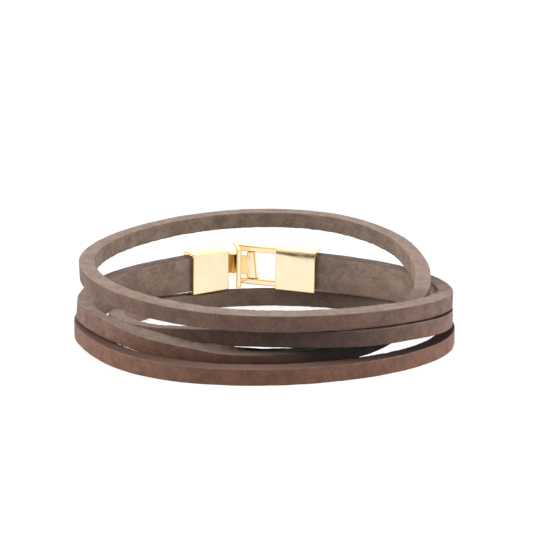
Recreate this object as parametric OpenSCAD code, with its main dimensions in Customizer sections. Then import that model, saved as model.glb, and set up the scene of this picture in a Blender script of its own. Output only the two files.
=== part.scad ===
// Double-wrap leather bracelet, lying as it rests on a table.
// One flat strap goes round twice. It is whole near its two ends and slit
// lengthwise into two strands in between, and the strands cross each other.
// Its ends sit in two metal end boxes, one with a hook and one with a loop.
// Lengths are in millimetres, angles in degrees. +X is right, +Y is back.

/* [Strap] */
// Width of the strap across both strands
strap_w = 5.6; // [5.5:0.05:5.7]
// Thickness of the leather
strap_t = 2.6; // [2.2:0.05:2.6]
// Width of one strand of the slit stretch
strand_w = 2.7; // [2.4:0.05:2.7]

/* [Oval] */
// Half-width of the middle line of the oval, side to side
oval_side = 30.4; // [30:0.1:32]
// Depth of the middle line in front of the centre
oval_front = 28.6; // [28:0.1:30]
// Depth of the middle line behind the centre
oval_back = 25.4; // [25:0.1:27]
// Turn from one cross-section of the strap to the next
step = 4.5; // [3:0.5:6]

/* [End boxes] */
// Length of an end box along the strap
box_l = 7.2; // [6.5:0.1:7.5]
// Height of an end box
box_h = 7.2; // [7.1:0.1:7.4]
// Thickness of an end box
box_t = 3.6; // [3.5:0.1:3.8]
// Gap between the leather and the metal round it
glue_gap = 0.15; // [0.1:0.05:0.2]
// Thickness of the closed end of a box
end_wall = 0.8; // [0.6:0.1:1]
// Radius of the rounded edges of the metal
edge_r = 0.3; // [0.1:0.05:0.35]

/* [Loop] */
// Height of the loop
loop_h = 7; // [6.8:0.1:7.1]
// Length of its rails, from the box to the middle of the end plate
rail_l = 7.9; // [7.6:0.1:8.2]
// Height of one rail
rail_h = 1; // [0.9:0.05:1.1]
// Thickness of a rail, inside to outside
rail_t = 2; // [1.6:0.1:2]
// Length of the end plate, from its lip near the wrist to its back
plate_l = 5.4; // [5:0.1:5.4]
// Thickness of the end plate
plate_t = 0.9; // [0.8:0.05:1]
// Angle between the end plate and a plain cross-section of the box
plate_turn = 25; // [20:1:28]

/* [Hook] */
// Height of the neck, which passes through the end plate
neck_h = 3.1; // [2.8:0.1:3.4]
// Thickness of the neck
neck_t = 0.7; // [0.6:0.05:0.8]
// How far the middle of the neck lies below the middle of the loop
neck_drop = 0.3; // [0:0.1:0.4]
// Gap round the neck in the end plate
catch_gap = 0.15; // [0.1:0.05:0.2]
// Distance from the end plate to the head, along the rails
head_from = 2; // [1.8:0.1:2.2]
// Length of the head at its top
head_l = 1.4; // [1.2:0.1:1.5]
// Height of the head
head_h = 4.7; // [4.4:0.1:4.8]

/* [Hidden] */
$fn = 48;

// Columns of the route tables
TURN = 0;    // where on the oval, counted on through both rounds
OUT = 1;     // distance outwards from the middle line of the oval
HEIGHT = 2;  // height of the middle of the cross-section
LEAN = 3;    // how far its top leans outwards

// Height at which the middle of a strand lies when it rests on the table
function lying(lean) = strand_w / 2 * cos(lean) + strap_t / 2 * abs(sin(lean));

// The whole strap, from the mouth of the hook's box
hook_end = [
    [117.5, -1.50, 6.65, -4],
    [127, -2.10, 6.50, -3],
    [139, -1.70, 6.20, -2],
    [152, -1.00, 5.70, -2],
    [166, -0.40, 4.95, -2],
];

// The upper strand: down behind the lower one at the front, up inside the
// right end, over the clasp at the back and down again across the front
upper_run = [
    [180, -0.32, 5.68, -4],
    [200, -0.92, 5.55, -14],
    [215, -1.65, 5.12, -3],
    [230, -2.08, 4.57, 13],
    [245, -2.45, 3.82, 9],
    [258, -2.72, 3.10, 7],
    [272, -2.90, 3.08, 5],
    [290, -3.40, 3.42, 0],
    [310, -3.50, 4.66, 0],
    [330, -3.60, 7.10, 0],
    [345, -3.90, 9.00, 0],
    [360, -4.20, 10.20, 0],
    [380, -3.60, 11.70, -1],
    [400, -1.90, 13.40, -2],
    [425, -0.50, 15.20, -4],
    [450, -0.20, 15.70, -5],
    [475, -0.50, 15.20, -4],
    [500, -0.62, 14.10, -2],
    [520, -0.72, 13.20, 0],
    [540, -0.85, 12.50, 2],
    [560, -1.00, 11.80, 3],
    [585, -0.90, 11.00, 6],
    [610, -0.80, 10.20, 8],
    [630, -0.80, 9.85, 8],
    [650, -0.80, 9.65, 8],
    [675, -0.60, 9.20, 6],
    [700, -0.60, 8.25, 4],
    [720, -0.45, 7.35, 1],
];

// The lower strand: once round on the table, in under the left side, and up
// inside to lie below the upper strand at the front
lower_run = [
    [180, 0.12, 2.50, 0],
    [200, -0.20, 2.20, 0],
    [225, 0.00, 1.55, 2],
    [247, 0.50, lying(4), 4],
    [270, 0.00, lying(4), 4],
    [297, -0.65, lying(3), 3],
    [320, -0.50, lying(0), 0],
    [340, -0.05, lying(0), 0],
    [360, -0.10, lying(0), 0],
    [380, -0.30, lying(0), 0],
    [405, -0.30, lying(0), 0],
    [430, 0.10, lying(0), 0],
    [450, 0.10, lying(0), 0],
    [470, -0.70, lying(0), 0],
    [490, -3.00, 1.75, 0],
    [510, -5.00, 2.25, 0],
    [535, -5.60, 3.20, 0],
    [560, -5.40, 4.30, -2],
    [585, -5.08, 5.05, -4],
    [605, -5.10, 5.90, 0],
    [617, -4.95, 6.34, 2],
    [631, -3.50, 6.72, 4],
    [646, -1.90, 6.80, 6],
    [660, -0.60, 6.60, 6],
    [680, -0.50, 6.10, 4],
    [700, -0.40, 5.15, 2],
    [720, -0.45, 4.35, 0],
];

// The whole strap again, to the mouth of the loop's box
loop_end = [
    [736, -0.80, 5.98, -1],
    [750, -1.40, 6.15, -3],
    [765, -1.70, 6.38, -4],
    [780, -1.70, 6.50, -4],
    [791.5, -1.60, 6.72, -4],
];

// The oval's centre, so that the origin is below the middle of the whole part
oval_centre = [0.11, 0.79, 0];

// Turns at which the slit begins and ends
slit_from = 162;
slit_to = 740;

// Rows of the whole strap moved up or down to the middle of one strand
function half_rows(rows, side) =
    let (d = side * (strap_w - strand_w) / 2)
    [for (r = rows) [r[TURN], r[OUT] + d * sin(r[LEAN]), r[HEIGHT] + d * cos(r[LEAN]), r[LEAN]]];

upper_route = concat(half_rows(hook_end, 1), upper_run, half_rows(loop_end, 1));
lower_route = concat(half_rows(hook_end, -1), lower_run, half_rows(loop_end, -1));

// A smooth curve through the rows of a table, evaluated at turn a
function row_slope(rows, i) =
    let (lo = max(i - 1, 0), hi = min(i + 1, len(rows) - 1))
    (rows[hi] - rows[lo]) / (rows[hi][TURN] - rows[lo][TURN]);
function row_before(rows, a) =
    min(len([for (r = rows) if (r[TURN] <= a) 1]), len(rows) - 1) - 1;
function row_at(rows, a) =
    let (
        i = max(row_before(rows, a), 0),
        h = rows[i + 1][TURN] - rows[i][TURN],
        s = (a - rows[i][TURN]) / h
    )
    (1 + 2 * s) * pow(1 - s, 2) * rows[i] + s * pow(1 - s, 2) * h * row_slope(rows, i)
        + s * s * (3 - 2 * s) * rows[i + 1] - s * s * (1 - s) * h * row_slope(rows, i + 1);

// The oval and its outward direction
function unit(v) = v / norm(v);
function depth_at(a) = sin(a) < 0 ? oval_front : oval_back;
function outward(a) = unit([depth_at(a) * cos(a), oval_side * sin(a), 0]);
function middle(rows, a) =
    let (r = row_at(rows, a))
    oval_centre + [oval_side * cos(a), depth_at(a) * sin(a), max(r[HEIGHT], lying(r[LEAN]))]
        + r[OUT] * outward(a);

// Unit directions of a cross-section: heading, up and out
function heading(rows, a) = unit(middle(rows, a + 0.5) - middle(rows, a - 0.5));
function out_side(rows, a) =
    let (h = heading(rows, a), n = outward(a))
    unit(n - (n * h) * h);
function up_side(rows, a) =
    let (l = row_at(rows, a)[LEAN], n = out_side(rows, a))
    cos(l) * cross(n, heading(rows, a)) + sin(l) * n;

// Corners of a cross-section: top outside, top inside, bottom inside, bottom outside
function corners(rows, a, w) =
    let (
        c = middle(rows, a),
        u = up_side(rows, a) * w / 2,
        o = cross(heading(rows, a), up_side(rows, a)) * strap_t / 2
    )
    [c + u + o, c + u - o, c - u - o, c - u + o];

// A section of the strap holds the upper strand's corners and then the lower
// strand's. There is one at each of the turns.
function section(a) =
    concat(corners(upper_route, a, strand_w), corners(lower_route, a, strand_w));
function shift(points, v) = [for (p = points) p + v];
first_turn = hook_end[0][TURN];
last_turn = loop_end[len(loop_end) - 1][TURN];
count_1 = ceil((slit_from - first_turn) / step);
count_2 = ceil((slit_to - slit_from) / step);
count_3 = ceil((last_turn - slit_to) / step);
turns = concat(
    [for (i = [0:count_1 - 1]) first_turn + (slit_from - first_turn) * i / count_1],
    [for (i = [0:count_2 - 1]) slit_from + (slit_to - slit_from) * i / count_2],
    [for (i = [0:count_3]) slit_to + (last_turn - slit_to) * i / count_3]
);

// Length of strap held inside a box. One more section stands at each end of it.
grip_l = box_l - end_wall - glue_gap;
sections = concat(
    [shift(section(first_turn), -grip_l * heading(hook_end, first_turn))],
    [for (a = turns) section(a)],
    [shift(section(last_turn), grip_l * heading(loop_end, last_turn))]
);
last = len(sections) - 1;

// Whether the strap is still whole at section i
function whole(i) = i <= count_1 + 1 || i >= last - count_3 - 1;

// Where the strap is whole, the two middle edges are one, so corners 4 and 5
// of a section are its corners 3 and 2
CORNERS = 8;
function middle_edge(i) = [
    (sections[i][2] + sections[i][5]) / 2,
    (sections[i][3] + sections[i][4]) / 2
];
strap_points = [
    for (i = [0:last]) let (m = middle_edge(i), s = sections[i])
        each whole(i) ? [s[0], s[1], m[0], m[1], m[1], m[0], s[6], s[7]] : s
];
function corner(i, k) =
    CORNERS * i + (whole(i) && k == 4 ? 3 : whole(i) && k == 5 ? 2 : k);

// Two triangles between edge k-l of section i and the same edge of the next
function side(i, k, l) = [
    [corner(i, k), corner(i, l), corner(i + 1, l)],
    [corner(i, k), corner(i + 1, l), corner(i + 1, k)]
];
outer_sides = [[0, 1], [1, 2], [3, 0], [5, 6], [6, 7], [7, 4]];
slit_sides = [[2, 3], [4, 5]];
end_fan = [[0, 3, 2], [0, 2, 1], [3, 7, 6], [3, 6, 2]];
strap_faces = [
    for (f = end_fan) [for (k = f) corner(0, k)],
    for (i = [0:last - 1])
        for (e = whole(i) && whole(i + 1) ? outer_sides : concat(outer_sides, slit_sides))
            each side(i, e[0], e[1]),
    for (f = end_fan) [for (k = [2, 1, 0]) corner(last, f[k])]
];

module strap() {
    color([0.42, 0.32, 0.27])
        polyhedron(points = strap_points, faces = strap_faces, convexity = 10);
}

// Metal is drawn in the frame of its box: the origin is the middle of the
// mouth, X runs along the strap to the right, Y outwards and Z up
function x_side(rows, a) = -heading(rows, a);
function y_side(rows, a) = cross(up_side(rows, a), x_side(rows, a));
module at_mouth(rows, a) {
    x = x_side(rows, a);
    translate(middle(rows, a))
        rotate([-row_at(rows, a)[LEAN], -asin(x.z), atan2(x.y, x.x)])
            children();
}

// A point given in the frame of the hook's box, in that of the loop's box
function hook_to_loop(p) =
    let (
        away = middle(hook_end, first_turn) - middle(loop_end, last_turn)
            + p.x * x_side(hook_end, first_turn) + p.y * y_side(hook_end, first_turn)
    )
    [away * x_side(loop_end, last_turn), away * y_side(loop_end, last_turn)];

module rounded(w, h, r) {
    square([w - 2 * r, h], center = true);
    square([w, h - 2 * r], center = true);
    for (x = [-1, 1], y = [-1, 1])
        translate([x * (w / 2 - r), y * (h / 2 - r)]) circle(r);
}

// An end box from x = 0, its open mouth, to x = box_l
module end_box() {
    cavity_t = strap_t + 2 * glue_gap;
    cavity_h = strap_w + 2 * glue_gap;
    past = 1;
    difference() {
        rotate([90, 0, 90]) linear_extrude(box_l) rounded(box_t, box_h, edge_r);
        translate([-past, -cavity_t / 2, -cavity_h / 2])
            cube([box_l - end_wall + past, cavity_t, cavity_h]);
    }
}

// The rails lie a little outside the middle of the box. The end plate crosses
// their far ends at plate_turn and reaches in towards the wrist.
rail_y = 0.2;
rail_root = 0.3;
neck_y = rail_y - rail_t / 2 + neck_t / 2;
plate_x = -box_l - rail_l;
plate_back = rail_t / 2 / cos(plate_turn);

// Draws in the frame of the end plate: X is its thickness and Y its length
module at_plate() {
    translate([plate_x, rail_y, 0]) rotate([0, 0, plate_turn])
        translate([0, plate_back - plate_l / 2, 0]) children();
}

// X of the middle of the end plate where it crosses a line at y
function plate_at(y) = plate_x - (y - rail_y) * tan(plate_turn);

// Two rails from the box to the end plate, which has a slot for the neck
module loop() {
    difference() {
        translate([-box_l + rail_root, rail_y, 0])
            rotate([90, 0, 0]) linear_extrude(rail_t, center = true)
                translate([-(rail_l + rail_root) / 2, 0])
                    square([rail_l + rail_root, loop_h], center = true);
        translate([plate_x + rail_l / 2, rail_y, 0])
            rotate([90, 0, 0]) linear_extrude(2 * rail_t, center = true)
                rounded(rail_l, loop_h - 2 * rail_h, edge_r);
    }
    difference() {
        at_plate() linear_extrude(loop_h, center = true)
            rounded(plate_t, plate_l, edge_r);
        translate([plate_at(neck_y), neck_y, -neck_drop])
            cube([4 * plate_t, neck_t + 2 * catch_gap, neck_h + 2 * catch_gap], center = true);
    }
}

module loop_cap() {
    color([0.92, 0.80, 0.52])
        at_mouth(loop_end, last_turn) {
            mirror([1, 0, 0]) end_box();
            loop();
        }
}

// The neck seen from above, in the frame of the loop's box: from its root in
// the end wall of its own box, out to the slot and on to the head
root_inset = 0.75;
first_stretch = [0.75, 1.1];
plate_lead = 1;
root = hook_to_loop([box_l - end_wall / 2, box_t / 2 - root_inset]);
head_x = plate_at(neck_y) + head_from;
neck_line = [
    root,
    root + first_stretch,
    [plate_at(neck_y) - plate_lead, neck_y],
    [head_x + head_l / 2, neck_y]
];

// A line seen from above moved sideways by d, with mitred bends
function beside(line, d) = [
    for (i = [0:len(line) - 1])
        let (
            a = unit(line[min(i + 1, len(line) - 1)] - line[min(i, len(line) - 2)]),
            b = unit(line[max(i, 1)] - line[max(i - 1, 0)]),
            m = unit(a + b)
        )
        line[i] + d / (m * a) * [-m.y, m.x]
];

// Flat bar along a line seen from above
module bent_bar(line, thick, high) {
    near = beside(line, -thick / 2);
    far = beside(line, thick / 2);
    linear_extrude(high, center = true)
        polygon(concat(near, [for (i = [len(far) - 1:-1:0]) far[i]]));
}

// The head stands across the loop, and its foot is wider than its top
module hook() {
    head_t = 1.6;
    foot = 0.5;
    outline = [
        [0, -head_h / 2], [head_l + foot, -head_h / 2],
        [head_l, head_h / 2], [0, head_h / 2]
    ];
    translate([0, 0, -neck_drop]) bent_bar(neck_line, neck_t, neck_h);
    translate([head_x, neck_y - neck_t / 2 + head_t, 0])
        rotate([90, 0, 0]) linear_extrude(head_t) polygon(outline);
}

module hook_cap() {
    color([0.92, 0.80, 0.52]) {
        at_mouth(hook_end, first_turn) end_box();
        at_mouth(loop_end, last_turn) hook();
    }
}

strap();
hook_cap();
loop_cap();
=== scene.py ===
"""Looks of a double-wrap leather bracelet with a gold-plated box clasp.

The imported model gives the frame. The leather strap and the two halves of the
clasp are modelled again in fine detail, each where its plain solid stands.
Lengths are in metres, unless a text here says millimetres. Turns, leans and the
angles of lamps and camera are in degrees.
"""
import logging
import math
from collections.abc import Callable
from dataclasses import dataclass, field
from enum import Enum

import bmesh
import bpy
import numpy as np
from mathutils import Euler, Matrix, Vector


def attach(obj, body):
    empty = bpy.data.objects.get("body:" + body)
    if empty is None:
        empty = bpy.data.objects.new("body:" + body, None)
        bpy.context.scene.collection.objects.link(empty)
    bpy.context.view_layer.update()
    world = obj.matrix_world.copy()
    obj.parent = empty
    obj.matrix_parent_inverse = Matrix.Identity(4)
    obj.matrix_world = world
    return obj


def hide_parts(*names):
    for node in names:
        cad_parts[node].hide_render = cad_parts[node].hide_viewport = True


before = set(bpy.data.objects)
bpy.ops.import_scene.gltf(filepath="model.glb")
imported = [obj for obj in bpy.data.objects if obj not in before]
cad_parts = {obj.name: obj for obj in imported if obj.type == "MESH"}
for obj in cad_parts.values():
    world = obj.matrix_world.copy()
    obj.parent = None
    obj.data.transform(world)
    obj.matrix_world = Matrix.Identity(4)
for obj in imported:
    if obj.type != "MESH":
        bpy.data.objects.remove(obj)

log = logging.getLogger("bracelet")

MM = 0.001
BODY = "root"
WHITE = (1.0, 1.0, 1.0)

# Places closer than TOUCH count as one, and an edge sharper than CORNER is a corner
TOUCH = 1e-6
CORNER = math.radians(35)

Piece = bpy.types.Object
Material = bpy.types.Material
Tree = bpy.types.NodeTree
Node = bpy.types.Node
Socket = bpy.types.NodeSocket
Triple = tuple[float, float, float]
Row = tuple[float, float, float, float]
Table = list[tuple[float, float]]
Array = np.ndarray


class Face(Enum):
    """The kinds of surface on a cut strap, by their place in LEATHERS."""

    GRAIN = 0
    FLESH = 1
    CUT = 2


class Plating(Enum):
    """The golds of the clasp, by their place in GOLDS."""

    FACE = 0
    # A deeper, more orange gold on the narrow edge faces: painted reflection
    EDGE = 1
    # A deep orange gold on the neck between its box and the end plate: painted shade
    NECK = 2


class Strand(Enum):
    """The two halves of the strap, by the side of the slit they lie on."""

    UPPER = 1
    LOWER = -1


# The strap's route. Each row gives the turn in degrees, counted on through
# both rounds, the distance outwards from the oval's middle line and the height
# of the cross-section in millimetres, and how far its top leans outwards. A
# strand at the height LIES rests on the floor.
LIES = 1.35
HOOK_END: list[Row] = [
    (117.5, -1.50, 6.65, -4), (127, -2.10, 6.50, -3), (139, -1.70, 6.20, -2),
    (152, -1.00, 5.70, -2), (166, -0.40, 4.95, -2),
]
RUNS: dict[Strand, list[Row]] = {}
RUNS[Strand.UPPER] = [
    (180, -0.32, 5.68, -4), (200, -0.92, 5.55, -14), (215, -1.65, 5.12, -3), (230, -2.08, 4.57, 13),
    (245, -2.45, 3.82, 9), (258, -2.72, 3.10, 7), (272, -2.90, 3.08, 5), (290, -3.40, 3.42, 0),
    (310, -3.50, 4.66, 0), (330, -3.60, 7.10, 0), (345, -3.90, 9.00, 0), (360, -4.20, 10.20, 0),
    (380, -3.60, 11.70, -1), (400, -1.90, 13.40, -2), (425, -0.50, 15.20, -4),
    (450, -0.20, 15.70, -5), (475, -0.50, 15.20, -4), (500, -0.62, 14.10, -2),
    (520, -0.72, 13.20, 0), (540, -0.85, 12.50, 2), (560, -1.00, 11.80, 3), (585, -0.90, 11.00, 6),
    (610, -0.80, 10.20, 8), (630, -0.80, 9.85, 8), (650, -0.80, 9.65, 8), (675, -0.60, 9.20, 6),
    (700, -0.60, 8.25, 4), (720, -0.45, 7.35, 1),
]
RUNS[Strand.LOWER] = [
    (180, 0.12, 2.50, 0), (200, -0.20, 2.20, 0), (225, 0.00, 1.55, 2), (247, 0.50, 1.44, 4),
    (270, 0.00, 1.44, 4), (297, -0.65, 1.42, 3), (320, -0.50, LIES, 0), (340, -0.05, LIES, 0),
    (360, -0.10, LIES, 0), (380, -0.30, LIES, 0), (405, -0.30, LIES, 0), (430, 0.10, LIES, 0),
    (450, 0.10, LIES, 0), (470, -0.70, LIES, 0), (490, -3.00, 1.75, 0), (510, -5.00, 2.25, 0),
    (535, -5.60, 3.20, 0), (560, -5.40, 4.30, -2), (585, -5.08, 5.05, -4), (605, -5.10, 5.90, 0),
    (617, -4.95, 6.34, 2), (631, -3.50, 6.72, 4), (646, -1.90, 6.80, 6), (660, -0.60, 6.60, 6),
    (680, -0.50, 6.10, 4), (700, -0.40, 5.15, 2), (720, -0.45, 4.35, 0),
]
LOOP_END: list[Row] = [
    (736, -0.80, 5.98, -1), (750, -1.40, 6.15, -3), (765, -1.70, 6.38, -4), (780, -1.70, 6.50, -4),
    (791.5, -1.60, 6.72, -4),
]

# How much wider than cut the leather lies at a turn, in millimetres: the whole
# strap, pressed flat near its boxes, and each strand where two of them run close
BAND_SPREAD: Table = [
    (117.5, 0.4), (127, 0.35), (139, 0.2), (152, 0.1), (166, 0.0),
    (736, 0.0), (750, 0.1), (765, 0.2), (780, 0.35), (791.5, 0.4),
]
STRAND_SPREAD: dict[Strand, Table] = {
    Strand.UPPER: [(190, 0.0), (205, 0.15), (222, 0.22), (236, 0.22), (254, 0.0)],
    Strand.LOWER: [(190, 0.0), (205, 0.12), (222, 0.20), (236, 0.20), (254, 0.0)],
}

# How far the upper strand's inner rim stands up at a turn, in millimetres
INNER_RIM_LIFT: Table = [
    (246, 0.0), (253, 0.5), (259, 0.5), (264, 0.32), (270, 0.2), (278, 0.1), (290, 0.1), (305, 0.0),
]

# Painted shade at a turn, from 0 for the deepest painted shade to 1 for none:
# on the strands' faces where a strand or the band above shades them, on their
# upper and lower cut edges in the crevices between strands, and on the inner
# half of the upper strand's upper edge in the gap under the strand above
FACE_PAINTED_SHADE: dict[Strand, Table] = {
    Strand.UPPER: [
        (225, 1.0), (240, 0.85), (258, 0.70), (272, 0.46), (285, 0.14), (312, 0.14), (330, 0.45),
        (350, 1.0), (385, 1.0), (405, 0.78), (420, 0.86), (440, 1.0), (480, 1.0), (495, 0.90),
        (515, 0.86), (535, 1.0),
    ],
    Strand.LOWER: [
        (222, 1.0), (236, 0.90), (315, 0.88), (335, 1.0), (400, 1.0), (412, 0.6), (432, 0.7),
        (440, 1.0), (590, 1.0), (610, 0.85), (625, 0.68), (640, 0.48), (656, 0.45), (674, 0.75),
        (688, 1.0),
    ],
}
TOP_EDGE_PAINTED_SHADE: dict[Strand, Table] = {
    Strand.UPPER: [
        (160, 0.55), (175, 0.88), (236, 0.88), (246, 1.0), (254, 1.0), (266, 0.90), (272, 0.70),
        (278, 0.38), (284, 0.15), (300, 0.08), (312, 0.12), (330, 0.5), (350, 1.0), (725, 1.0),
        (740, 0.55),
    ],
    Strand.LOWER: [
        (180, 0.70), (240, 0.68), (262, 0.76), (285, 0.56), (305, 0.35), (325, 0.12), (354, 0.08),
        (364, 0.20), (378, 1.0), (600, 1.0), (625, 0.90), (645, 0.25), (715, 0.20), (725, 1.0),
    ],
}
LOW_EDGE_PAINTED_SHADE: dict[Strand, Table] = {
    Strand.UPPER: [
        (190, 1.0), (200, 0.3), (240, 0.3), (250, 1.0), (600, 1.0), (630, 0.3), (725, 0.3),
        (740, 1.0),
    ],
    Strand.LOWER: [(166, 0.35), (180, 1.0), (720, 1.0), (740, 0.35)],
}
INNER_RIM_PAINTED_SHADE: Table = [
    (257, 1.0), (261, 0.5), (264, 0.08), (300, 0.05), (318, 0.3), (330, 1.0),
]


def read_off(table: Table, turns: Array) -> Array:
    """Reads a table off at any turns, along straight lines between its rows."""
    return np.interp(turns, *zip(*table))


@dataclass(frozen=True)
class Oval:
    """The middle line of the rounds, seen from above."""

    side: float = 30.4
    front: float = 28.6
    back: float = 25.4
    centre: tuple[float, float] = (0.11, 0.79)

    def line(self, turns: Array) -> tuple[Array, Array]:
        """Gives the points of the middle line and the ways outwards from it.

        Args:
            turns: angles round the oval in degrees.

        Returns:
            Rows of x, y and 0 in millimetres, and as many unit rows.
        """
        a = np.radians(turns)
        depth = np.where(np.sin(a) < 0, self.front, self.back)
        level = np.zeros_like(a)
        x = self.side * np.cos(a) + self.centre[0]
        y = depth * np.sin(a) + self.centre[1]
        outward = unit(np.stack([depth * np.cos(a), self.side * np.sin(a), level], -1))
        return np.stack([x, y, level], -1), outward


def unit(rows: Array) -> Array:
    """Scales each row to length one."""
    return rows / np.linalg.norm(rows, axis=-1, keepdims=True)


@dataclass(frozen=True)
class StrapSizes:
    """The strap's sizes in millimetres and its slit's end turns, as the source has them."""

    width: float = 5.6
    thick: float = 2.6
    strand: float = 2.7
    slit_from: float = 162.0
    slit_to: float = 740.0
    grip: float = 6.25

    @property
    def slit(self) -> float:
        """Width of the slit on the flat strap."""
        return self.width - 2 * self.strand

    @property
    def offset(self) -> float:
        """Distance from the strap's middle to the middle of one strand."""
        return (self.width - self.strand) / 2


class Route:
    """A smooth line through the rows of a table, with its cross-section's directions."""

    HALF_STEP = 0.5

    def __init__(self, rows: list[Row], sizes: StrapSizes, oval: Oval) -> None:
        """Keeps the table.

        Args:
            rows: turn, out, height and lean of each row.
            sizes: the strap's sizes, for the height at which it lies.
            oval: the middle line that the rows are measured from.
        """
        self.turns = np.array([row[0] for row in rows], float)
        self.values = np.array([row[1:] for row in rows], float)
        self.sizes = sizes
        self.oval = oval
        order = np.arange(len(rows))
        before, after = np.maximum(order - 1, 0), np.minimum(order + 1, order[-1])
        run = (self.turns[after] - self.turns[before])[:, None]
        self.slopes = (self.values[after] - self.values[before]) / run

    def table_at(self, turns: Array) -> Array:
        """Interpolates the table.

        Args:
            turns: the turns wanted.

        Returns:
            One row of out, height and lean for each turn.
        """
        i = np.clip(np.searchsorted(self.turns, turns, side="right") - 1, 0, len(self.turns) - 2)
        h = (self.turns[i + 1] - self.turns[i])[:, None]
        s = (turns - self.turns[i])[:, None] / h
        start = (1 + 2 * s) * (1 - s) ** 2 * self.values[i] + s * (1 - s) ** 2 * h * self.slopes[i]
        end = s * s * (3 - 2 * s) * self.values[i + 1] - s * s * (1 - s) * h * self.slopes[i + 1]
        return start + end

    def middle(self, turns: Array) -> Array:
        """Gives the middle of the cross-section at each turn.

        Args:
            turns: the turns wanted.

        Returns:
            One row of x, y and z for each turn, in millimetres.
        """
        out, height, lean = self.table_at(turns).T
        a = np.radians(lean)
        lying = self.sizes.strand / 2 * np.cos(a) + self.sizes.thick / 2 * np.abs(np.sin(a))
        points, outward = self.oval.line(turns)
        points = points + outward * out[:, None]
        points[:, 2] = np.maximum(height, lying)
        return points

    def heading(self, turns: Array) -> Array:
        """Gives the unit direction of travel at each turn."""
        return unit(self.middle(turns + self.HALF_STEP) - self.middle(turns - self.HALF_STEP))

    def axes(self, turns: Array) -> tuple[Array, Array, Array]:
        """Gives the directions of the cross-sections.

        Args:
            turns: the turns wanted.

        Returns:
            The heading, up and out rows, each of unit length.
        """
        ahead = self.heading(turns)
        side = self.oval.line(turns)[1]
        side = unit(side - np.sum(side * ahead, -1, keepdims=True) * ahead)
        lean = np.radians(self.table_at(turns)[:, 2:3])
        up = np.cos(lean) * np.cross(side, ahead) + np.sin(lean) * side
        return ahead, up, np.cross(ahead, up)


def half_rows(rows: list[Row], distance: float) -> list[Row]:
    """Moves the rows of the whole strap to the middle of one strand.

    Args:
        rows: the rows of the whole strap.
        distance: how far up the strap to move, in millimetres.

    Returns:
        The moved rows.
    """
    moved = []
    for turn, out, height, lean in rows:
        a = math.radians(lean)
        moved.append((turn, out + distance * math.sin(a), height + distance * math.cos(a), lean))
    return moved


def deselect() -> None:
    """Deselects every object, because an operator acts on all that is selected."""
    bpy.ops.object.select_all(action="DESELECT")


def select_only(piece: Piece) -> None:
    """Makes a piece the only selected and the active object.

    Args:
        piece: the object.
    """
    deselect()
    piece.select_set(True)
    bpy.context.view_layer.objects.active = piece


def pick(piece: Piece, kind: str, wanted: Callable[[object], bool]) -> None:
    """Enters edit mode and selects some faces or edges.

    Args:
        piece: the mesh object.
        kind: FACE or EDGE.
        wanted: says of each face or edge whether it is selected.
    """
    select_only(piece)
    bpy.ops.object.mode_set(mode="EDIT")
    bpy.ops.mesh.select_mode(type=kind)
    bpy.ops.mesh.select_all(action="DESELECT")
    mesh = bmesh.from_edit_mesh(piece.data)
    for item in mesh.faces if kind == "FACE" else mesh.edges:
        item.select_set(wanted(item))
    bmesh.update_edit_mesh(piece.data)


def leave_edit() -> None:
    """Goes back to object mode."""
    bpy.ops.object.mode_set(mode="OBJECT")


def score(piece: Piece, height: float, slope: float = 0.0) -> None:
    """Adds edges where a plane crosses a piece.

    Args:
        piece: the mesh object.
        height: where the plane crosses the Z axis.
        slope: X of its normal, whose Z is 1.
    """
    pick(piece, "FACE", lambda face: True)
    bpy.ops.mesh.bisect(plane_co=(0, 0, height), plane_no=(slope, 0, 1))
    leave_edit()


def apply_modifier(piece: Piece, kind: str, **settings: object) -> None:
    """Adds one modifier and applies it at once.

    Args:
        piece: the mesh object.
        kind: Blender's name of the modifier.
        settings: the modifier's own settings by name.
    """
    select_only(piece)
    modifier = piece.modifiers.new(kind.lower(), kind)
    for name, value in settings.items():
        setattr(modifier, name, value)
    bpy.ops.object.modifier_apply(modifier=modifier.name)


def block(size: Triple, centre: Triple, bevel: float = 0.0) -> Piece:
    """Adds a block with rounded edges.

    Args:
        size: its full size.
        centre: where its middle lies.
        bevel: radius of its edges, or 0 to leave them for later.

    Returns:
        The new object, with its size and place in its mesh.
    """
    deselect()
    bpy.ops.mesh.primitive_cube_add(size=1.0, location=centre)
    piece = bpy.context.object
    piece.scale = size
    bpy.ops.object.transform_apply(location=True, rotation=True, scale=True)
    if bevel:
        round_edges(piece, bevel)
    return piece


def round_edges(piece: Piece, radius: float, segments: int = 4) -> None:
    """Rounds every sharp edge of a piece."""
    apply_modifier(piece, "BEVEL", width=radius, segments=segments, limit_method="ANGLE",
                   angle_limit=CORNER)


def combine(base: Piece, other: Piece, operation: str) -> None:
    """Joins another piece to a base as one skin, or cuts it away.

    Args:
        base: the piece that stays.
        other: the piece that is used up.
        operation: UNION or DIFFERENCE.
    """
    apply_modifier(base, "BOOLEAN", operation=operation, object=other, solver="EXACT")
    bpy.data.objects.remove(other, do_unlink=True)


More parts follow.
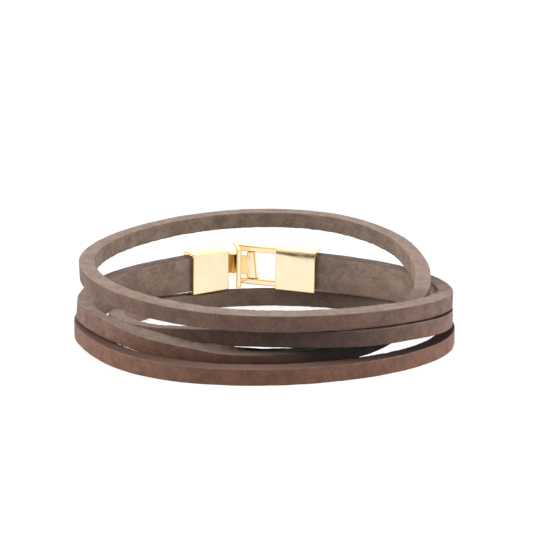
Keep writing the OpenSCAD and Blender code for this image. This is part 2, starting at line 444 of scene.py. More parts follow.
class Shader:
    """A node tree with short ways to add nodes and links."""

    def __init__(self, tree: Tree) -> None:
        """Keeps the tree that nodes are added to."""
        self.tree = tree

    def plug(self, socket: Socket, value: object) -> None:
        """Links a node's input to another socket, or sets it to a constant.

        Args:
            socket: the input.
            value: the other socket, a number or a colour.
        """
        if isinstance(value, Socket):
            self.tree.links.new(value, socket)
        else:
            socket.default_value = (*value, 1.0) if isinstance(value, tuple) else value

    def feed(self, node: Node, **values: object) -> Node:
        """Sets or links a node's inputs.

        Args:
            node: the node to feed.
            values: a socket, or a constant, for each input. An underscore in
                the name stands for a space.

        Returns:
            The same node.
        """
        for name, value in values.items():
            self.plug(node.inputs[name.replace("_", " ")], value)
        return node

    def node(self, kind: str, output: int | str = 0, **values: object) -> Socket:
        """Adds a node and feeds it.

        Args:
            kind: Blender's type name of the node, without its ShaderNode start.
            output: the output that is wanted.
            values: attributes, in small letters, and inputs, with a capital.

        Returns:
            That output.
        """
        made = self.tree.nodes.new("ShaderNode" + kind)
        for name in [name for name in values if name.islower()]:
            setattr(made, name, values.pop(name))
        return self.feed(made, **values).outputs[output]

    def spread(self, value: Socket, low: float, high: float,
               to_low: float = 0.0, to_high: float = 1.0) -> Socket:
        """Maps a range of a value smoothly onto another.

        Args:
            value: the socket to map.
            low: where the source range begins.
            high: where it ends.
            to_low: the result at and below low.
            to_high: the result at and above high.

        Returns:
            The mapped socket.
        """
        return self.node("MapRange", interpolation_type="SMOOTHSTEP", Value=value, From_Min=low,
                         From_Max=high, To_Min=to_low, To_Max=to_high)

    def mix(self, factor: object, first: object, second: object) -> Socket:
        """Mixes two colours.

        Args:
            factor: a socket or a number from 0, all first, to 1, all second.
            first: a colour or a socket.
            second: a colour or a socket.

        Returns:
            The mixed colour socket.
        """
        return self.node("MixRGB", Fac=factor, Color1=first, Color2=second)

    def maths(self, operation: str, first: object, second: object) -> Socket:
        """Works out a sum, product or other operation on two values.

        Args:
            operation: Blender's name of the operation.
            first: a socket or a number.
            second: a socket or a number.

        Returns:
            The result's socket.
        """
        result = self.node("Math", operation=operation)
        self.plug(result.node.inputs[0], first)
        self.plug(result.node.inputs[1], second)
        return result


def start_group(name: str, result: str) -> tuple[Shader, Socket, Socket, Node]:
    """Starts a shader node group that takes a vector and a scale.

    Args:
        name: the group's name.
        result: the name of the one value that it gives.

    Returns:
        The group's shader helper, its vector, its scale and its output node.
    """
    tree = bpy.data.node_groups.new(name, "ShaderNodeTree")
    tree.interface.new_socket("Vector", in_out="INPUT", socket_type="NodeSocketVector")
    tree.interface.new_socket("Scale", in_out="INPUT", socket_type="NodeSocketFloat")
    tree.interface.new_socket(result, in_out="OUTPUT", socket_type="NodeSocketFloat")
    vector, scale = tree.nodes.new("NodeGroupInput").outputs[:2]
    return Shader(tree), vector, scale, tree.nodes.new("NodeGroupOutput")


class Effects:
    """The shader node groups that the materials share, each built once."""

    FINE_STEP = 5.3
    BROAD_SHARE = 0.65
    FINE_SHARE = 0.35

    def __init__(self) -> None:
        """Builds the groups."""
        self.mottle = self._mottle()
        self.fibres = self._fibres()

    def _mottle(self) -> Tree:
        """Builds soft cloudy patches at two scales.

        Returns:
            The group, whose mask goes from 0 to 1.
        """
        make, place, scale, result = start_group("mottle", "Mask")
        fine_scale = make.maths("MULTIPLY", scale, self.FINE_STEP)
        broad = make.node("TexNoise", Vector=place, Scale=scale, Detail=5.0, Roughness=0.62)
        fine = make.node("TexNoise", Vector=place, Scale=fine_scale, Detail=3.0, Roughness=0.5)
        both = make.maths("ADD", make.maths("MULTIPLY", broad, self.BROAD_SHARE),
                          make.maths("MULTIPLY", fine, self.FINE_SHARE))
        make.feed(result, Mask=make.spread(both, low=0.36, high=0.66))
        return make.tree

    def _fibres(self) -> Tree:
        """Builds short fibres and specks.

        Returns:
            The group, whose height goes from 0 to 1.
        """
        make, place, scale, result = start_group("fibres", "Height")
        noise = make.node("TexNoise", Vector=place, Scale=scale, Detail=4.0, Roughness=0.7,
                          Distortion=0.6)
        cells = make.node("TexVoronoi", Vector=place, Scale=scale, Randomness=1.0)
        rims = make.spread(cells, low=0.0, high=0.6, to_low=0.55, to_high=1.0)
        make.feed(result, Height=make.maths("MULTIPLY", noise, rims))
        return make.tree


def new_material(name: str) -> tuple[Material, Shader, Node]:
    """Starts a material.

    Args:
        name: its name.

    Returns:
        The material, its shader helper and its Principled node.
    """
    material = bpy.data.materials.new(name)
    material.use_nodes = True
    make = Shader(material.node_tree)
    return material, make, material.node_tree.nodes["Principled BSDF"]


# The colour of the deepest painted shade on the leather, where strands shade one another
PAINTED_SHADE_COLOUR: Triple = (0.008, 0.005, 0.004)


@dataclass(frozen=True)
class LeatherFinish:
    """One surface of the leather: its colours, fibres and gloss.

    Lower down, between the heights low_start and low_end, its base colour turns
    into its low tint: redder on the grain, darker on the flesh side and on the cut
    edges, where the darkening is painted shade under the strands above. Where the
    strap's painted shading is 0 it is the colour of the deepest painted shade.
    """

    name: str
    base: Triple
    dark: Triple
    low_tint_and_shade: Triple
    patch_scale: float
    fibre_scale: float
    fibre_shade: float
    roughness: float
    bump: float
    specular: float
    low_end: float = 2.5 * MM
    low_start: float = 8.0 * MM
    patch_share: float = 0.8
    patch_gloss: tuple[float, float] = (-0.06, 0.08)
    bump_strength: float = 0.6

    def build(self, effects: Effects) -> Material:
        """Builds the material.

        The pattern follows the flat strap, so it isn't stretched by a bend.

        Args:
            effects: the shared node groups.

        Returns:
            The material.
        """
        material, make, surface = new_material(self.name)
        flat = make.node("Attribute", "Vector", attribute_name="flat")
        painted_shading = make.node("Attribute", "Fac", attribute_name="painted_shading")
        height = make.node("SeparateXYZ", "Z", Vector=make.node("TexCoord", "Object"))
        patches = make.node("Group", node_tree=effects.mottle, Vector=flat, Scale=self.patch_scale)
        fibres = make.node("Group", node_tree=effects.fibres, Vector=flat, Scale=self.fibre_scale)
        low = make.spread(height, self.low_end, self.low_start, to_low=1.0, to_high=0.0)
        tinted = make.mix(low, self.base, self.low_tint_and_shade)
        patch = make.maths("MULTIPLY", patches, self.patch_share)
        patched = make.mix(patch, tinted, self.dark)
        specks = make.spread(fibres, low=0.25, high=0.6, to_low=self.fibre_shade, to_high=0.0)
        speckled = make.mix(specks, patched, self.dark)
        # Painted shade: the colour falls towards the deepest painted shade where the painted
        # shading is low
        colour = make.mix(painted_shading, PAINTED_SHADE_COLOUR, speckled)
        rough = make.spread(patches, 0.0, 1.0,
                            *(self.roughness + change for change in self.patch_gloss))
        bump = make.node("Bump", Strength=self.bump_strength, Distance=self.bump, Height=fibres)
        make.feed(surface, Base_Color=colour, Roughness=rough, Normal=bump,
                  Specular_IOR_Level=self.specular)
        return material


@dataclass(frozen=True)
class GoldFinish:
    """Polished gold plating with faint smudges and hairline marks."""

    name: str
    base: Triple
    deep: Triple
    roughness: float
    smudge_scale: float = 420.0
    smudge_share: float = 0.35
    smudge_gloss: float = 0.08
    mark_scale: float = 2600.0
    mark_strength: float = 0.25
    mark_depth: float = 0.004 * MM

    def build(self, effects: Effects) -> Material:
        """Builds the material.

        Args:
            effects: the shared node groups.

        Returns:
            The material.
        """
        material, make, surface = new_material(self.name)
        place = make.node("TexCoord", "Object")
        smudges = make.node("Group", node_tree=effects.mottle, Vector=place,
                            Scale=self.smudge_scale)
        marks = make.node("Group", node_tree=effects.fibres, Vector=place, Scale=self.mark_scale)
        smudge = make.maths("MULTIPLY", smudges, self.smudge_share)
        colour = make.mix(smudge, self.base, self.deep)
        rough = make.spread(smudges, 0.0, 1.0, self.roughness, self.roughness + self.smudge_gloss)
        bump = make.node("Bump", Strength=self.mark_strength, Distance=self.mark_depth,
                         Height=marks)
        make.feed(surface, Base_Color=colour, Roughness=rough, Metallic=1.0, Normal=bump)
        return material


LEATHERS = (
    LeatherFinish("leather_grain", base=(0.132, 0.077, 0.055), dark=(0.066, 0.036, 0.025),
                  low_tint_and_shade=(0.168, 0.072, 0.042), patch_scale=0.55, fibre_scale=3.2,
                  fibre_shade=0.55, roughness=0.55, bump=0.05 * MM, specular=0.25),
    LeatherFinish("leather_flesh", base=(0.200, 0.144, 0.110), dark=(0.088, 0.061, 0.046),
                  low_tint_and_shade=(0.150, 0.100, 0.072), patch_scale=0.45, fibre_scale=3.6,
                  fibre_shade=0.45, roughness=0.85, bump=0.07 * MM, specular=0.15),
    # On the cut edges the darker low tint is painted shade under the strands above
    LeatherFinish("leather_cut_edge", base=(0.231, 0.171, 0.142), dark=(0.135, 0.097, 0.079),
                  low_tint_and_shade=(0.165, 0.087, 0.067), patch_scale=0.60, fibre_scale=4.4,
                  fibre_shade=0.40, roughness=0.65, bump=0.05 * MM, specular=0.04,
                  low_end=3.0 * MM, low_start=5.0 * MM),
)
GOLDS = (
    GoldFinish("gold_plating", base=(0.99, 0.86, 0.60), deep=(0.97, 0.80, 0.50), roughness=0.09),
    # Painted reflection: a deeper, more orange gold for the narrow edge faces
    GoldFinish("gold_edges_painted_reflection", base=(0.98, 0.64, 0.18), deep=(0.96, 0.54, 0.12), roughness=0.38),
    # Painted shade: a deep orange gold for the neck between its box and the end plate
    GoldFinish("gold_neck_painted_shade", base=(1.0, 0.50, 0.07), deep=(0.98, 0.40, 0.04), roughness=0.5),
)


@dataclass
class Strap:
    """The leather strap: cut flat, slit, thickened and then wrapped along its route.

    Its lengths are in millimetres. A wave is the size of the bumps that roughen a
    surface and how high they are, and a tilt is the Z of a flat face's normal.
    """

    sizes: StrapSizes = field(default_factory=StrapSizes)
    oval: Oval = field(default_factory=Oval)
    steps: int = 1400
    cell: float = 0.45
    strand_rows: int = 6
    edge_radius: float = 0.16
    cut_levels: tuple[float, ...] = (-0.65, 0.0, 0.65)
    grain_tilt: float = 0.8
    flesh_tilt: float = -0.6
    cut_depth: float = 0.3
    cut_wave: tuple[float, float] = (2.4, 0.10)
    fuzz_wave: tuple[float, float] = (0.75, 0.22)
    edge_depth: float = 0.02
    face_depth: float = 0.1
    inner_from: float = 0.2
    blend_reach: float = 0.6
    blend_turns: float = 4.0
    blend_least: float = 0.01
    smooth: float = math.radians(50)

    def __post_init__(self) -> None:
        """Works out the routes of the whole strap and of both strands."""
        self.routes = {}
        for strand, run in RUNS.items():
            up = strand.value * self.sizes.offset
            rows = half_rows(HOOK_END, up) + run + half_rows(LOOP_END, up)
            self.routes[strand] = Route(rows, self.sizes, self.oval)
        self.first = HOOK_END[0][0]
        self.last = LOOP_END[-1][0]
        self.table = np.linspace(self.first, self.last, self.steps)
        lengths = [np.linalg.norm(np.diff(route.middle(self.table), axis=0), axis=1)
                   for route in self.routes.values()]
        self.lengths = np.concatenate([[0.0], np.cumsum(sum(lengths) / 2)])

    def cut_flat(self) -> Piece:
        """Cuts the strap flat, in millimetres.

        X runs along the strap from the hook's box, Y up it and Z outwards.

        Returns:
            The flat strap with rounded edges.
        """
        s = self.sizes
        length = self.lengths[-1] + 2 * s.grip
        rows = 2 * self.strand_rows + 1
        deselect()
        bpy.ops.mesh.primitive_grid_add(x_subdivisions=round(length / self.cell),
                                        y_subdivisions=rows, size=1.0,
                                        location=(length / 2 - s.grip, 0, 0))
        strap = bpy.context.object
        strap.name = "strap_leather"
        strap.scale = (length, s.width, 1.0)
        bpy.ops.object.transform_apply(location=True, rotation=True, scale=True)
        row_half = s.width / rows / 2
        stretch = s.strand / (s.width / 2 - row_half)
        for v in strap.data.vertices:
            beyond = (abs(v.co.y) - row_half) * stretch
            v.co.y = math.copysign(s.slit / 2 + beyond, v.co.y)
        start, end = np.interp([s.slit_from, s.slit_to], self.table, self.lengths).tolist()

        def in_slit(face: bmesh.types.BMFace) -> bool:
            """Says whether a face lies in the slit."""
            at = face.calc_center_median()
            return abs(at.y) < s.slit / 2 and start < at.x < end

        pick(strap, "FACE", in_slit)
        bpy.ops.mesh.delete(type="FACE")
        leave_edit()
        apply_modifier(strap, "SOLIDIFY", thickness=s.thick, offset=0.0)
        for level in self.cut_levels:
            score(strap, level)
        round_edges(strap, self.edge_radius, segments=3)
        return strap

    def sort_faces(self, strap: Piece) -> None:
        """Gives each face of the flat strap the material of its side.

        Args:
            strap: the flat strap.
        """
        for polygon in strap.data.polygons:
            tilt = polygon.normal.z
            kind = Face.GRAIN if tilt > self.grain_tilt else Face.FLESH
            if self.flesh_tilt <= tilt <= self.grain_tilt:
                kind = Face.CUT
            polygon.material_index = kind.value

    def keep_flat_place(self, strap: Piece) -> Array:
        """Stores each point's place on the flat strap, for the materials.

        Args:
            strap: the flat strap, before it is roughened.

        Returns:
            One row of places along, up and out for each point.
        """
        places = np.empty(len(strap.data.vertices) * 3, np.float32)
        strap.data.vertices.foreach_get("co", places)
        attribute = strap.data.attributes.new("flat", "FLOAT_VECTOR", "POINT")
        attribute.data.foreach_set("vector", places)
        return places.reshape(-1, 3)

    def roughen(self, strap: Piece) -> None:
        """Makes the cut uneven and the flesh side's edges fuzzy, still flat.

        Args:
            strap: the flat strap.
        """
        s = self.sizes
        cut = strap.vertex_groups.new(name="cut")
        fuzz = strap.vertex_groups.new(name="fuzz")
        for v in strap.data.vertices:
            from_middle = abs(abs(v.co.y) - s.offset)
            if from_middle > s.strand / 2 - self.cut_depth:
                cut.add([v.index], 1.0, "REPLACE")
                if v.co.z < 0:
                    fuzz.add([v.index], min(1.0, -v.co.z / (s.thick / 2)) ** 2, "REPLACE")
        for group, (size, height) in (("cut", self.cut_wave), ("fuzz", self.fuzz_wave)):
            texture = bpy.data.textures.new(group, "CLOUDS")
            texture.noise_scale = size
            texture.noise_depth = 2
            apply_modifier(strap, "DISPLACE", texture=texture, texture_coords="LOCAL",
                           vertex_group=group, strength=height, mid_level=0.5)

    def rise(self, strand: Strand, turns: Array, across: Array, flat: Array) -> Array:
        """Works out how far up from its strand's middle each point lies.

        Args:
            strand: the strand that the points follow.
            turns: each point's turn.
            across: each point's place up the roughened strap.
            flat: each point's place on the strap before it was roughened.

        Returns:
            One distance for each point.
        """
        s = self.sizes
        middle = strand.value * s.offset
        spread = 1 + read_off(BAND_SPREAD, turns) / s.width
        swell = read_off(STRAND_SPREAD[strand], turns) / s.strand
        up = across * spread - middle + swell * (across - middle)
        if strand is Strand.UPPER:
            rim = (np.clip((flat[:, 1] - middle) / (s.strand / 2), 0, 1)
                   * np.clip(-flat[:, 2] / (s.thick / 2), 0, 1))
            up = up + rim * read_off(INNER_RIM_LIFT, turns)
        return up

    def painted_shading(self, strand: Strand, turns: Array, flat: Array) -> Array:
        """Works out how bright the leather is at each point.

        The result is painted shade, darker where strands shade one another. A point
        is on a cut edge if it lies within edge_depth of the strand's own edge and
        more than face_depth under both faces.

        Args:
            strand: the strand that the points follow.
            turns: each point's turn.
            flat: each point's place on the strap before it was roughened.

        Returns:
            One value from 0, the deepest painted shade, to 1, none, for each point.
        """
        s = self.sizes
        up = flat[:, 1] - strand.value * s.offset
        edge = s.strand / 2 - self.edge_depth
        between_faces = np.abs(flat[:, 2]) < s.thick / 2 - self.face_depth
        found = read_off(FACE_PAINTED_SHADE[strand], turns)
        # Painted shade on the cut edges, in the crevices where strands touch or lie one under
        # another
        for side, edge_shade_table in ((1, TOP_EDGE_PAINTED_SHADE), (-1, LOW_EDGE_PAINTED_SHADE)):
            on_edge = between_faces & (side * up > edge)
            found = np.where(on_edge, read_off(edge_shade_table[strand], turns), found)
        # Painted shade on the inner half of the upper strand's upper edge, in the gap under the
        # strand above
        if strand is Strand.UPPER:
            inner = (up > edge) & (flat[:, 2] < -self.inner_from)
            found = found * np.where(inner, read_off(INNER_RIM_PAINTED_SHADE, turns), 1.0)
        return found

    def wrap(self, strap: Piece, flat: Array) -> None:
        """Bends the flat strap along its route, to full size in metres.

        Past the slit's ends the two strands grow together over a few degrees.

        Args:
            strap: the roughened flat strap.
            flat: each point's place on it before it was roughened.
        """
        places = np.empty(len(strap.data.vertices) * 3)
        strap.data.vertices.foreach_get("co", places)
        along, across, out = places.reshape(-1, 3).T
        inside = np.clip(along, 0, self.lengths[-1])
        past = (along - inside)[:, None]
        turns = np.interp(inside, self.lengths, self.table)
        past_slit = np.maximum(self.sizes.slit_from - turns, turns - self.sizes.slit_to)
        reach = self.blend_reach * np.clip(past_slit / self.blend_turns, self.blend_least, 1)
        share = np.clip(0.5 + across / reach / 2, 0, 1)
        points, painted_shading = 0.0, 0.0
        for strand, part in ((Strand.UPPER, share), (Strand.LOWER, 1 - share)):
            route = self.routes[strand]
            ahead, up, side = route.axes(turns)
            rise = self.rise(strand, turns, across, flat)[:, None]
            found = route.middle(turns) + past * ahead + rise * up + out[:, None] * side
            points = points + part[:, None] * found
            painted_shading = painted_shading + part * self.painted_shading(strand, turns, flat)
        # Stores the painted shading on each point, for the leather materials
        attribute = strap.data.attributes.new("painted_shading", "FLOAT", "POINT")
        attribute.data.foreach_set("value", painted_shading)
        strap.data.vertices.foreach_set("co", (points * MM).ravel())
        strap.data.update()

    def build(self, effects: Effects) -> Piece:
        """Makes the strap and dresses it.

        Args:
            effects: the shared node groups.

        Returns:
            The finished piece.
        """
        strap = self.cut_flat()
        self.sort_faces(strap)
        flat = self.keep_flat_place(strap)
        self.roughen(strap)
        self.wrap(strap, flat)
        for finish in LEATHERS:
            strap.data.materials.append(finish.build(effects))
        select_only(strap)
        bpy.ops.object.shade_smooth_by_angle(angle=self.smooth)
        return strap

    def mouth(self, rows: list[Row], turn: float) -> Matrix:
        """Finds the frame of a box: the middle of its mouth, X to the right, Y out, Z up.

        Args:
            rows: the rows of the whole strap at that end.
            turn: the turn of the strap's end.

        Returns:
            The frame, in metres.
        """
        at = np.array([turn])
        route = Route(rows, self.sizes, self.oval)
        x = -route.heading(at)[0]
        lean = math.radians(route.table_at(at)[0][2])
        spin = Euler((-lean, -math.asin(x[2]), math.atan2(x[1], x[0]))).to_matrix().to_4x4()
        return Matrix.Translation(Vector(route.middle(at)[0]) * MM) @ spin


@dataclass
class Clasp:
    """One half of the clasp, with the sizes that both halves share, in metres."""

    hook_place: Matrix
    loop_place: Matrix
    box_l: float = 7.2 * MM
    box_h: float = 7.2 * MM
    box_t: float = 3.6 * MM
    cavity_h: float = 5.9 * MM
    cavity_t: float = 2.9 * MM
    end_wall: float = 0.8 * MM
    loop_h: float = 7.0 * MM
    rail_l: float = 7.9 * MM
    rail_h: float = 1.0 * MM
    rail_t: float = 2.0 * MM
    rail_y: float = 0.2 * MM
    plate_l: float = 5.4 * MM
    plate_t: float = 0.9 * MM
    plate_turn: float = math.radians(25)
    neck_h: float = 3.5 * MM
    neck_t: float = 0.7 * MM
    neck_drop: float = 0.05 * MM
    slot_gap: float = 0.15 * MM
    head_from: float = 2.0 * MM
    head_l: float = 1.4 * MM
    head_h: float = 4.9 * MM
    head_t: float = 1.6 * MM
    foot: float = 0.5 * MM
    dip_from: float = 1.9 * MM
    dip_slope: float = 0.1
    box_round: float = 0.26 * MM
    rail_round: float = 0.16 * MM
    plate_round: float = 0.2 * MM
    neck_round: float = 0.12 * MM
    head_round: float = 0.18 * MM
    edge_strip: float = 0.13 * MM

    @property
    def plate_x(self) -> float:
        """X of the end plate's middle, in the loop's frame."""
        return -self.box_l - self.rail_l

    @property
    def neck_y(self) -> float:
        """Y of the neck where it passes the end plate, in the loop's frame."""
        return self.rail_y - self.rail_t / 2 + self.neck_t / 2

    @property
    def slot_x(self) -> float:
        """X of the end plate's middle where the neck passes it, in the loop's frame."""
        return self.plate_x - (self.neck_y - self.rail_y) * math.tan(self.plate_turn)

    def on_neck(self, place: Vector) -> bool:
        """Says whether a place is on the neck, which only the hook's half has."""
        return False

    def end_box(self, name: str, side: int, dip: float = 0.0) -> Piece:
        """Models an end box with an open mouth at X = 0.

        Args:
            name: the object's name.
            side: 1 if the box runs to +X from its mouth, -1 if to -X.
            dip: how far the top of its inner face falls back.

        Returns:
            The box.
        """
        box = block((self.box_l, self.box_t, self.box_h), (side * self.box_l / 2, 0, 0))
        box.name = name
        rim = (self.box_t - self.cavity_t) / 2
        squeeze = self.cavity_h / (self.box_h - 2 * rim)
        pick(box, "FACE", lambda face: abs(face.calc_center_median().x) < TOUCH)
        bpy.ops.mesh.inset(thickness=rim)
        bpy.ops.transform.resize(value=(1, 1, squeeze), center_override=(0, 0, 0))
        depth = side * (self.box_l - self.end_wall)
        bpy.ops.mesh.extrude_region_move(TRANSFORM_OT_translate={"value": (depth, 0, 0)})
        leave_edit()
        if dip:
            score(box, self.dip_from, self.dip_slope)
            for v in box.data.vertices:
                if v.co.y < -self.box_t / 2 + TOUCH and v.co.z > self.box_h / 2 - TOUCH:
                    v.co.y += dip
        round_edges(box, self.box_round)
        return box

    def model(self) -> Piece:
        """Models the half in its place, as one skin."""
        raise NotImplementedError

    def build(self, golds: list[Material]) -> Piece:
        """Models the half and gives it its plating and clean reflections.

        Its narrow faces get a deeper, more orange gold, which is painted reflection, and the neck
        between its box and the end plate a deep orange gold, which is painted shade.

        Args:
            golds: the materials, in the order of Plating.

        Returns:
            The finished piece.
        """
        half = self.model()
        half.data.materials.clear()
        for material in golds:
            half.data.materials.append(material)
        corners = half.data.vertices
        for polygon in half.data.polygons:
            ends = [corners[i].co for i in polygon.vertices]
            longest = max((a - b).length for a, b in zip(ends, ends[1:] + ends[:1]))
            gold = Plating.EDGE if polygon.area / longest < self.edge_strip else Plating.FACE
            if self.on_neck(polygon.center):
                gold = Plating.NECK
            polygon.material_index = gold.value
        select_only(half)
        bpy.ops.object.shade_smooth_by_angle(angle=CORNER)
        apply_modifier(half, "WEIGHTED_NORMAL", keep_sharp=True)
        return half


@dataclass
class LoopCap(Clasp):
    """The right half of the clasp: a box, two rails and a slotted end plate."""

    face_dip: float = 0.19 * MM
    rail_sunk: float = 0.3 * MM

    def rails(self) -> tuple[Piece, Piece]:
        """Models the upper rail and copies it for the lower.

        Returns:
            Both rails, in the loop's frame.
        """
        root, end = -self.box_l + self.rail_sunk, self.plate_x
        z = (self.loop_h - self.rail_h) / 2
        upper = block((root - end, self.rail_t, self.rail_h), ((root + end) / 2, self.rail_y, z),
                      self.rail_round)
        lower = upper.copy()
        lower.data = upper.data.copy()
        lower.data.transform(Matrix.Translation((0, 0, -2 * z)))
        bpy.context.scene.collection.objects.link(lower)
        return upper, lower

    def end_plate(self) -> Piece:
        """Models the plate across the rails' ends, with the slot for the neck.

        Returns:
            The plate, in the loop's frame.
        """
        plate = block((self.plate_t, self.plate_l, self.loop_h), (0, 0, 0), self.plate_round)
        back = self.rail_t / 2 / math.cos(self.plate_turn)
        turned = (Matrix.Translation((self.plate_x, self.rail_y, 0))
                  @ Matrix.Rotation(self.plate_turn, 4, "Z")
                  @ Matrix.Translation((0, back - self.plate_l / 2, 0)))
        plate.data.transform(turned)
        gap, through = 2 * self.slot_gap, 4 * self.plate_t
        slot = block((through, self.neck_t + gap, self.neck_h + gap),
                     (self.slot_x, self.neck_y, -self.neck_drop))
        combine(plate, slot, "DIFFERENCE")
        return plate

    def model(self) -> Piece:
        """Joins the box, rails and plate as one skin, in its place.

        Returns:
            The half.
        """
        half = self.end_box("loop_cap_gold", -1, self.face_dip)
        for part in (*self.rails(), self.end_plate()):
            combine(half, part, "UNION")
        half.data.transform(self.loop_place)
        return half


@dataclass
class HookCap(Clasp):
    """The left half of the clasp: a box, a bent neck and the head behind the plate."""

    root_inset: float = 0.75 * MM
    neck_from: float = 0.05 * MM
    first_stretch: tuple[float, float] = (0.75 * MM, 1.1 * MM)
    plate_lead: float = 1.0 * MM

    def neck_line(self) -> list[Vector]:
        """Gives the neck's bends seen from above.

        Returns:
            Its root, its two bends and its end, in the loop's frame.
        """
        inner = Vector((self.box_l - self.end_wall / 2, self.box_t / 2 - self.root_inset, 0))
        root = self.loop_place.inverted() @ self.hook_place @ inner
        root.z = 0
        head_x = self.slot_x + self.head_from
        return [
            root,
            root + Vector((*self.first_stretch, 0)),
            Vector((self.slot_x - self.plate_lead, self.neck_y, 0)),
            Vector((head_x + self.head_l / 2, self.neck_y, 0)),
        ]

    def neck(self) -> Piece:
        """Models the neck: an upright strip extruded along its bends.

        Returns:
            The neck, in the loop's frame.
        """
        line = self.neck_line()
        deselect()
        bpy.ops.mesh.primitive_plane_add(size=1.0)
        strip = bpy.context.object
        corners = [(line[0], -1), (line[1], -1), (line[0], 1), (line[1], 1)]
        for vertex, (point, side) in zip(strip.data.vertices, corners):
            vertex.co = point + Vector((0, 0, side * self.neck_h / 2 - self.neck_drop))
        for start, end in zip(line[1:], line[2:]):
            pick(strip, "EDGE",
                 lambda edge: all((v.co - start).xy.length < TOUCH for v in edge.verts))
            bpy.ops.mesh.extrude_region_move(TRANSFORM_OT_translate={"value": end - start})
            leave_edit()
        apply_modifier(strip, "SOLIDIFY", thickness=self.neck_t, offset=0.0, use_even_offset=True)
        round_edges(strip, self.neck_round, segments=3)
        return strip

    def head(self) -> Piece:
        """Models the head, whose foot is wider than its top.

        Returns:
            The head, in the loop's frame.
        """
        left = self.slot_x + self.head_from
        front = self.neck_y - self.neck_t / 2
        head = block((self.head_l, self.head_t, self.head_h),
                     (left + self.head_l / 2, front + self.head_t / 2, 0))
        for v in head.data.vertices:
            if v.co.x > left + self.head_l / 2 and v.co.z < 0:
                v.co.x += self.foot
        round_edges(head, self.head_round)
        return head

    def model(self) -> Piece:
        """Joins the box, neck and head as one skin, in its place.

        Returns:
            The half.
        """
        half = self.end_box("hook_cap_gold", 1)
        half.data.transform(self.hook_place)
        for part in (self.neck(), self.head()):
            part.data.transform(self.loop_place)
            combine(half, part, "UNION")
        return half

    def on_neck(self, place: Vector) -> bool:
        """Says whether a place is on the neck, between its box and the end plate.

        Args:
            place: the place, in metres.

        Returns:
            True for the part of the neck that shows, whose gold is painted shade.
        """
        past_box = (self.hook_place.inverted() @ place).x - self.box_l
        in_loop = self.loop_place.inverted() @ place
        return past_box > self.neck_from and in_loop.x < self.slot_x


@dataclass(frozen=True)
class Lamp:
    """A broad lamp so far away that it lights the whole floor alike.

    Its heading counts round from the right towards the back, and its height up
    from the floor.
    """

    name: str
    heading: float
    height: float
    strength: float
    softness: float = 35.0

    def build(self) -> None:
        """Adds the lamp to the scene."""
        data = bpy.data.lights.new(self.name, "SUN")
        data.energy = self.strength
        data.angle = math.radians(self.softness)
        a, b = math.radians(self.heading), math.radians(self.height)
        towards = Vector((math.cos(a) * math.cos(b), math.sin(a) * math.cos(b), math.sin(b)))
        lamp = bpy.data.objects.new(self.name, data)
        lamp.rotation_euler = (-towards).to_track_quat("-Z", "Y").to_euler()
        bpy.context.scene.collection.objects.link(lamp)


LAMPS = (
    Lamp("left_lamp", heading=188.0, height=28.0, strength=4.4),
    Lamp("right_lamp", heading=352.0, height=28.0, strength=4.4),
    Lamp("front_lamp", heading=270.0, height=62.0, strength=1.3),
)


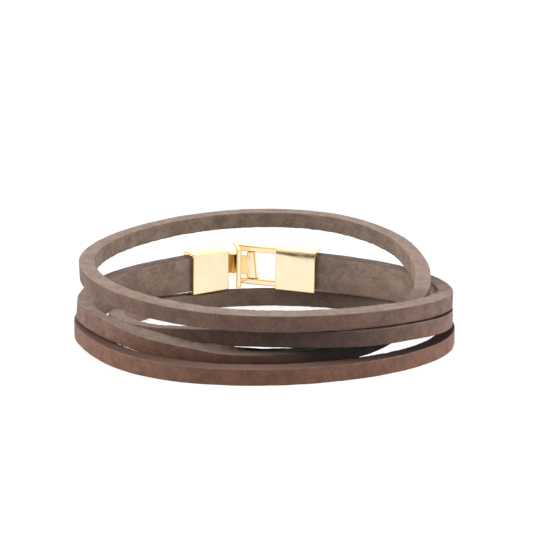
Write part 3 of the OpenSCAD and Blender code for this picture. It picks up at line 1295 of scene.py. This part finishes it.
@dataclass(frozen=True)
class Studio:
    """The pale floor, soft lights and camera."""

    floor_size: float = 3.0
    elevation: float = 13.0
    distance: float = 0.4
    target: Triple = (0.11 * MM, 0.79 * MM, 8.0 * MM)
    target_px: tuple[float, float] = (265.0, 292.6)
    frame_px: int = 540
    lens: float = 160.0
    sensor: float = 36.0
    ambient: float = 0.25
    floor_base: float = 0.12
    floor_glow: float = 0.85
    wall_distance: float = 1.1
    wall_height: float = 1.0
    wall_glow: float = 1.1

    def white_plane(self, name: str, glow: float) -> Piece:
        """Adds a matt white plane that also shines a little.

        Args:
            name: the object's name.
            glow: how bright it shines by itself.

        Returns:
            The plane, level at the origin.
        """
        deselect()
        bpy.ops.mesh.primitive_plane_add(size=self.floor_size)
        plane = bpy.context.object
        plane.name = name
        material, make, surface = new_material(f"{name}_white")
        make.feed(surface, Base_Color=(self.floor_base,) * 3, Roughness=0.9,
                  Specular_IOR_Level=0.1, Emission_Color=WHITE, Emission_Strength=glow)
        plane.data.materials.append(material)
        return plane

    def wall(self) -> None:
        """Stands a bright wall far behind, for the metal's tops to reflect."""
        wall = self.white_plane("wall", self.wall_glow)
        wall.scale = (1.0, self.wall_height / self.floor_size, 1.0)
        wall.rotation_euler = (math.radians(90), 0.0, 0.0)
        wall.location = (0.0, self.wall_distance, self.wall_height / 2)

    def camera(self) -> None:
        """Sets the camera at the photo's angle."""
        data = bpy.data.cameras.new("camera")
        data.lens = self.lens
        data.sensor_width = self.sensor
        half = self.frame_px / 2
        data.shift_x = (half - self.target_px[0]) / self.frame_px
        data.shift_y = (self.target_px[1] - half) / self.frame_px
        tilt = math.radians(self.elevation)
        back = Vector((0, -math.cos(tilt), math.sin(tilt)))
        camera = bpy.data.objects.new("camera", data)
        camera.location = Vector(self.target) + back * self.distance
        camera.rotation_euler = (-back).to_track_quat("-Z", "Y").to_euler()
        bpy.context.scene.collection.objects.link(camera)
        bpy.context.scene.camera = camera

    def build(self) -> None:
        """Sets the whole studio up."""
        self.camera()
        self.white_plane("floor", self.floor_glow)
        self.wall()
        world = bpy.data.worlds.new("studio")
        world.use_nodes = True
        Shader(world.node_tree).feed(world.node_tree.nodes["Background"],
                                     Color=WHITE, Strength=self.ambient)
        bpy.context.scene.world = world
        for lamp in LAMPS:
            lamp.build()
        bpy.context.scene.view_settings.view_transform = "Standard"


def place_piece(piece: Piece, node: str) -> None:
    """Makes a piece part of the object.

    Args:
        piece: the finished piece.
        node: the plain solid that it stands for.
    """
    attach(piece, BODY)
    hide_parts(node)
    piece.data.calc_loop_triangles()
    log.info("%s stands for %s with %d triangles", piece.name, node, len(piece.data.loop_triangles))


def main() -> None:
    """Builds the bracelet and the studio."""
    logging.basicConfig(level=logging.INFO, format="%(name)s: %(message)s")
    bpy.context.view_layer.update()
    Studio().build()
    effects = Effects()
    strap = Strap()
    place_piece(strap.build(effects), "strap")
    mouths = (strap.mouth(HOOK_END, strap.first), strap.mouth(LOOP_END, strap.last))
    golds = [finish.build(effects) for finish in GOLDS]
    for half, node in ((HookCap(*mouths), "hook_cap"), (LoopCap(*mouths), "loop_cap")):
        place_piece(half.build(golds), node)


if __name__ == "__main__":
    main()
